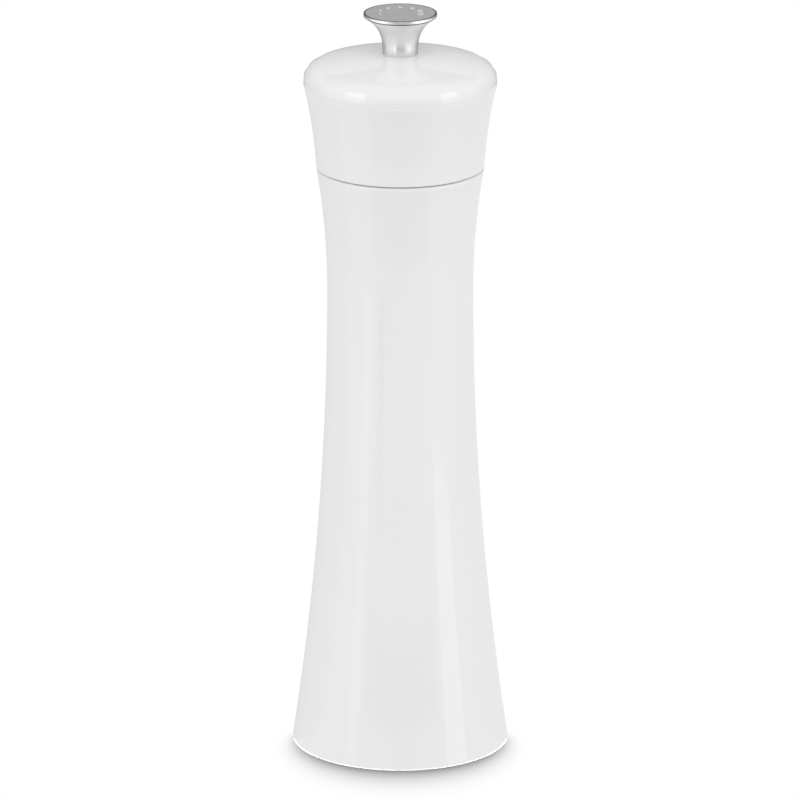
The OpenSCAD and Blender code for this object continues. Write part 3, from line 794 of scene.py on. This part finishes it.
# New pieces: what makes it, its body, its finish, its slot and the node that it replaces
NEW_PIECES = (
    (make_body, "body", "white_gloss", "white_gloss", "body_shell"),
    (make_head, "head", "white_gloss", "white_gloss", "head_shell"),
    (make_knob, "knob", "knob_satin", "knob_satin", "knob"),
    (make_disc, "knob", "disc_satin", "disc_satin", "knob_disc"),
    (make_dots, "knob", "dot_polish", "disc_satin", "knob_disc"),
    (make_shaft, "spindle", "steel", "steel", "shaft"),
)

for make, body, finish_name, slot, node in NEW_PIECES:
    piece = make()
    apply_modifier(piece, "WEIGHTED_NORMAL", keep_sharp=True)
    wear(piece, FINISHES[finish_name])
    # Bright metal gives back about as much soft light as it takes, so the knob takes none from the dome
    piece.visible_diffuse = body != "knob"
    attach(piece, body)
    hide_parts(node)

coil = make_spring()
wear(coil, FINISHES["steel"])
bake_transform(coil)
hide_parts("spring")

# Nodes that keep their CAD shape, with their finishes
CARRIED = {
    "grinder_housing": "housing_grey", "hopper_funnel": "funnel_grey", "stator": "ceramic",
    "stator_retainer": "steel", "retainer_screws": "screw_steel", "housing_screws": "screw_steel",
    "glide_ring": "glide_grey", "drive_bush": "acetal", "rotor": "ceramic", "rotor_washer": "steel",
    "rotor_screw": "screw_steel", "spring_washer": "steel", "head_plug": "plug_white",
    "drive_plate": "steel", "drive_plate_screws": "screw_steel", "seat_washer": "acetal",
    "friction_ring": "silicone", "knob_insert": "brass",
}
for node, finish_name in CARRIED.items():
    wear(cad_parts[node], FINISHES[finish_name])


# Stage, light and camera, in metres and degrees

FLOOR_SIZE = 8
FLOOR_Z = -0.00005
# The floor's own colour is a dark grey, seen only near the foot: painted shadow
FLOOR_PAINTED_SHADOW_TONES = ((0.32, 0.32, 0.32), (0.30, 0.30, 0.30))

# Soft light from the world and the floor, where 1 is the white that the camera sees
FILL = 0.85
BOUNCE = 0.94

# Painted shadow: the mask that blends the dark floor in, with its half width, half length, shift to the
# front, and how fast it fades outwards and to the sides
SHADOW_SIDE = 0.036
SHADOW_LONG = 0.0455
SHADOW_SHIFT = 0.0135
SHADOW_POWER = 2.3
SHADOW_TURN = 0.82

# Widths of a card's white near edge, and a fade that lies above every card
HAIR_EDGE = 0.01 * MM
FINE_EDGE = 0.1 * MM
PLAIN_EDGE = MM
WIDE_EDGE = 0.03
NO_FADE = (8, 9)
CARD_STEPS = 24

# Small cards close in front of the shoulder draw its two light spots
SPOT_LEFT = (-37.7, -23.2)
SPOT_RIGHT = (27, 39)
SPOT_REACH = (0.02845, 0.0285)

# Cards: name, first and last side, near and far end, low and high end, tone, near edge and fade
CARDS = (
    ("sweep_left", (180, 275), (0.0301, 0.66), (0, 0), 0.74, FINE_EDGE, NO_FADE),
    ("sweep_right", (85, 180), (0.0301, 0.66), (0, 0), 0.88, FINE_EDGE, NO_FADE),
    ("ground_near", (104, 262), (0.66, 0.72), (0, 0), 0.5, PLAIN_EDGE, NO_FADE),
    ("ground_behind", (104, 262), (0.7201, 0.99), (0, 0), 0.34, PLAIN_EDGE, NO_FADE),
    ("wall_behind", (106, 260), (0.9901, 1.0), (0, 0.8), 0.46, PLAIN_EDGE, (0.2, 1.2)),
    ("wall_high", (112, 252), (0.99, 1.0), (0.8, 3), 0.4, PLAIN_EDGE, (1.6, 3)),
    ("foot_line", (-85, 85), (0.029, 0.0309), (FLOOR_Z, FLOOR_Z), 6, PLAIN_EDGE, NO_FADE),
    ("shade_near", (-41, 41), (0.19, 0.36), (0, 0), 0.5, WIDE_EDGE, NO_FADE),
    ("shade_left", (-35, -24), (0.40, 0.60), (0, 0), 0.35, WIDE_EDGE, NO_FADE),
    ("shade_far", (-30, 42), (0.60, 1.5), (0, 0.3), 0.26, PLAIN_EDGE, NO_FADE),
    ("strip_left", (-60, -47), (1.09, 1.1), (-0.22, 0.15), 1.45, PLAIN_EDGE, NO_FADE),
    ("strip_right", (50, 74), (1.09, 1.1), (-0.15, 0.15), 1.95, PLAIN_EDGE, NO_FADE),
    ("spot_left", SPOT_LEFT, SPOT_REACH, (0.1907, 0.1943), 3.2, HAIR_EDGE, NO_FADE),
    ("spot_right", SPOT_RIGHT, SPOT_REACH, (0.1904, 0.194), 3.2, HAIR_EDGE, NO_FADE),
    ("glow_left", SPOT_LEFT, SPOT_REACH, (0.1886, 0.1907), 1.8, HAIR_EDGE, NO_FADE),
    ("glow_right", SPOT_RIGHT, SPOT_REACH, (0.1883, 0.1904), 1.8, HAIR_EDGE, NO_FADE),
)

# Lamps: name, side, distance, height, height that it looks at, width and length of its box, watts
LAMPS = (
    ("lamp_left", -85, 1.1, 0.35, 0.11, 0.4, 0.9, 1.4),
    ("lamp_right", 85, 1.1, 0.35, 0.11, 0.4, 0.9, 1.55),
    ("lamp_front", 0, 0.8, 1.3, 0.1, 0.9, 0.6, 4.7),
)

# Camera, with its sensor and lens in millimetres
SENSOR = 36
LENS = 400.95
EYE = (-0.00008, -2.345, 0.821)
LOOK_DOWN = 17.14
CLIP_NEAR = 0.05
CLIP_FAR = 100


def at(side, distance, height):
    """A place round the mill. Side 0 is the camera's, and positive angles turn to the right."""
    angle = math.radians(side)
    return (distance * math.sin(angle), -distance * math.cos(angle), height)


def seen_rays(tree):
    """1 for rays that show the backdrop: straight to the camera, mirrored or through glass."""
    rays = Finish(None, tree=tree)
    camera_ray, glossy_ray, clear_ray = (
        rays.node("ShaderNodeLightPath", output=name)
        for name in ("Is Camera Ray", "Is Glossy Ray", "Is Transmission Ray"))
    return rays.combine("MAXIMUM", rays.combine("MAXIMUM", camera_ray, glossy_ray), clear_ray)


def make_world():
    """White all round, which gives a little less soft light than its look."""
    world = bpy.data.worlds.new("studio")
    bpy.context.scene.world = world
    world.use_nodes = True
    tree = world.node_tree
    sky = tree.nodes["Background"]
    sky.inputs["Color"].default_value = (1, 1, 1, 1)
    strength = FILL + (1 - FILL) * seen_rays(tree)
    tree.links.new(strength.socket, sky.inputs["Strength"])


def make_floor():
    """A white floor that shows the mill's shadow close to the foot only, as real shading on a painted dark
    patch, and is open from below.
    """
    floor = new_piece("floor", bpy.ops.mesh.primitive_plane_add, size=FLOOR_SIZE, location=(0, 0, FLOOR_Z))
    bpy.ops.mesh.subdivide(number_cuts=1)
    finish_mesh(floor)
    paint = Finish("floor_white_with_painted_shadow", {"Roughness": 0.9, "Specular IOR Level": 0.0})
    place = paint.place()
    grain = paint.noise(place, scale=900, detail=2)
    paint.set("Base Color", paint.blend(grain, *FLOOR_PAINTED_SHADOW_TONES))
    # Painted shadow mask: close to the foot, most of all to the front, the dark grey floor with its real
    # shading shows in place of white.
    reach = paint.around(place)
    outside = paint.combine("MAXIMUM", reach / (BASE_R * MM) - 1, 0)
    moved = paint.node("ShaderNodeVectorMath", {"operation": "ADD"}, {0: place, 1: (0, SHADOW_SHIFT, 0)})
    scaled = paint.stretched(moved, (1 / SHADOW_SIDE, 1 / SHADOW_LONG, 0))
    inside = paint.combine("MAXIMUM", 1 - paint.around(scaled), 0)
    near = paint.combine("POWER", inside / (inside + outside), SHADOW_POWER)
    turned = 1 + paint.part_of(place, "Y") / reach
    painted_shadow_front = paint.combine("MAXIMUM", 1 - SHADOW_TURN * turned * turned, 0)
    to_camera = paint.node("ShaderNodeLightPath", output="Is Camera Ray")
    glow = BOUNCE + (1 - BOUNCE) * seen_rays(paint.tree)
    white = paint.node("ShaderNodeEmission", None, {"Color": glow})
    shaded = Value(paint, paint.shader.outputs[0])
    lit = paint.node("ShaderNodeMixShader", None, {0: near * painted_shadow_front * to_camera, 1: white, 2: shaded})
    back = paint.node("ShaderNodeNewGeometry", output="Backfacing")
    clear = paint.node("ShaderNodeBsdfTransparent")
    paint.show(paint.node("ShaderNodeMixShader", None, {0: back, 1: lit, 2: clear}))
    wear(floor, paint.material)
    floor.visible_glossy = False


def make_card(name, sides, reach, heights, tone, edge, fade):
    """A card that lies level like a fan and stands up at its far end. Only mirrored rays meet it.

    It is white at its near edge, has its tone from there on, and turns white between the two heights of
    its fade.
    """
    first, last = sides
    near, far = reach
    low, high = heights
    start = at(first, near, low)
    card = new_point(name, start)
    extrude([b - a for a, b in zip(start, at(first, far, low))])
    if high > low:
        extrude((0, 0, high - low))
    bpy.ops.mesh.select_all(action="SELECT")
    bpy.ops.mesh.spin(steps=CARD_STEPS, angle=math.radians(first - last), center=(0, 0, 0), axis=(0, 0, 1))
    finish_mesh(card)
    paint = Finish(name)
    place = paint.place()
    cloud = paint.noise(place, scale=3, detail=2)
    faded = paint.step(paint.part_of(place, "Z"), *fade)
    toned = paint.step(paint.around(place), near, near + edge) * (1 - faded)
    glow = (1 + (tone - 1) * toned) * paint.swing(1, (cloud, 0.06))
    paint.show(paint.node("ShaderNodeEmission", None, {"Color": glow}))
    wear(card, paint.material)
    card.visible_camera = False
    card.visible_diffuse = False
    card.visible_shadow = False
    card.visible_transmission = False


def add_lamp(name, side, distance, height, target_z, width, length, watts):
    """A soft box that looks at a height on the mill's axis. The camera and mirrored rays don't see it."""
    lamp = bpy.data.lights.new(name, "AREA")
    lamp.shape = "RECTANGLE"
    lamp.size = width
    lamp.size_y = length
    lamp.energy = watts
    holder = bpy.data.objects.new(name, lamp)
    holder.location = at(side, distance, height)
    pitch = math.atan2(target_z - height, distance)
    holder.rotation_euler = (math.pi / 2 + pitch, 0, math.radians(side))
    holder.visible_camera = False
    holder.visible_glossy = False
    bpy.context.scene.collection.objects.link(holder)


def add_camera():
    """The photograph's camera."""
    camera = bpy.data.cameras.new("camera")
    camera.sensor_width = SENSOR
    camera.lens = LENS
    camera.clip_start = CLIP_NEAR
    camera.clip_end = CLIP_FAR
    holder = bpy.data.objects.new("camera", camera)
    holder.location = EYE
    holder.rotation_euler = (math.radians(90 - LOOK_DOWN), 0, 0)
    bpy.context.scene.collection.objects.link(holder)
    bpy.context.scene.camera = holder


make_world()
make_floor()
for card_row in CARDS:
    make_card(*card_row)
for lamp_row in LAMPS:
    add_lamp(*lamp_row)
add_camera()
bpy.context.scene.view_settings.view_transform = "Standard"
